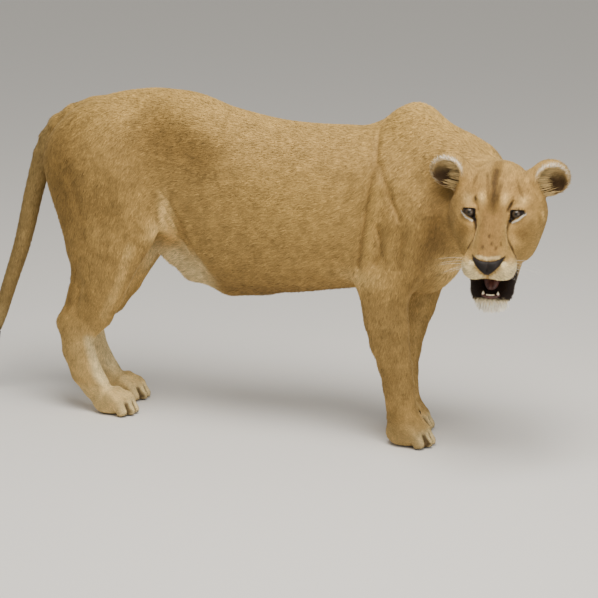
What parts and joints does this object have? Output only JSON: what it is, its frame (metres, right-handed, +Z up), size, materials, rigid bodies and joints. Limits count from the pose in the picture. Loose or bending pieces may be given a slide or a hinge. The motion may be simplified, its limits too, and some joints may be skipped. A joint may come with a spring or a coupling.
{
  "type": "lioness",
  "caption": "Life-size still model of a standing lioness in a short tan coat, head turned to her right, mouth ajar, tail hanging to a dark tuft.",
  "frame": {"origin": "on the floor, under the middle of her whole length and width", "axes": "+X the way her body faces, nose end; +Y to her left; +Z up"},
  "size_m": [1.8528, 0.526, 0.9513],
  "materials": {
    "coat": "short tan fur, matt",
    "pale_coat": "short pale fur, matt",
    "tail_coat": "short greyish tan fur, matt",
    "tuft_coat": "longer dark brown fur, matt",
    "nose_leather": "bare pebbled skin, slightly moist",
    "eye": "amber iris under a clear glossy front",
    "tongue": "cast, painted rough pink",
    "teeth": "cast enamel-coloured teeth in dark gum",
    "claw": "cast dark horn, satin"
  },
  "bodies": {
    "root": {"chest": "coat", "belly": "coat", "rump": "coat", "neck": "coat", "head": "coat", "muzzle": "coat", "lower_jaw": "pale_coat", "nose_pad": "nose_leather", "tongue": "tongue", "lower_teeth": "teeth", "ear_right": "coat", "eye_right": "eye", "upper_foreleg_right": "coat", "forearm_right": "coat", "forepaw_right": "coat", "thigh_right": "coat", "shank_right": "coat", "hind_foot_right": "pale_coat", "hind_paw_right": "pale_coat", "forepaw_right_claw_1": "claw", "forepaw_right_claw_2": "claw", "forepaw_right_claw_3": "claw", "forepaw_right_claw_4": "claw", "forepaw_right_claw_5": "claw", "hind_paw_right_claw_1": "claw", "hind_paw_right_claw_2": "claw", "hind_paw_right_claw_3": "claw", "hind_paw_right_claw_4": "claw", "ear_left": "coat", "eye_left": "eye", "upper_foreleg_left": "coat", "forearm_left": "coat", "forepaw_left": "coat", "thigh_left": "coat", "shank_left": "coat", "hind_foot_left": "pale_coat", "hind_paw_left": "pale_coat", "forepaw_left_claw_1": "claw", "forepaw_left_claw_2": "claw", "forepaw_left_claw_3": "claw", "forepaw_left_claw_4": "claw", "forepaw_left_claw_5": "claw", "hind_paw_left_claw_1": "claw", "hind_paw_left_claw_2": "claw", "hind_paw_left_claw_3": "claw", "hind_paw_left_claw_4": "claw", "tail_base": "tail_coat", "tail_middle": "tail_coat", "tail_tip": "tuft_coat"}
  },
  "joints": []
}
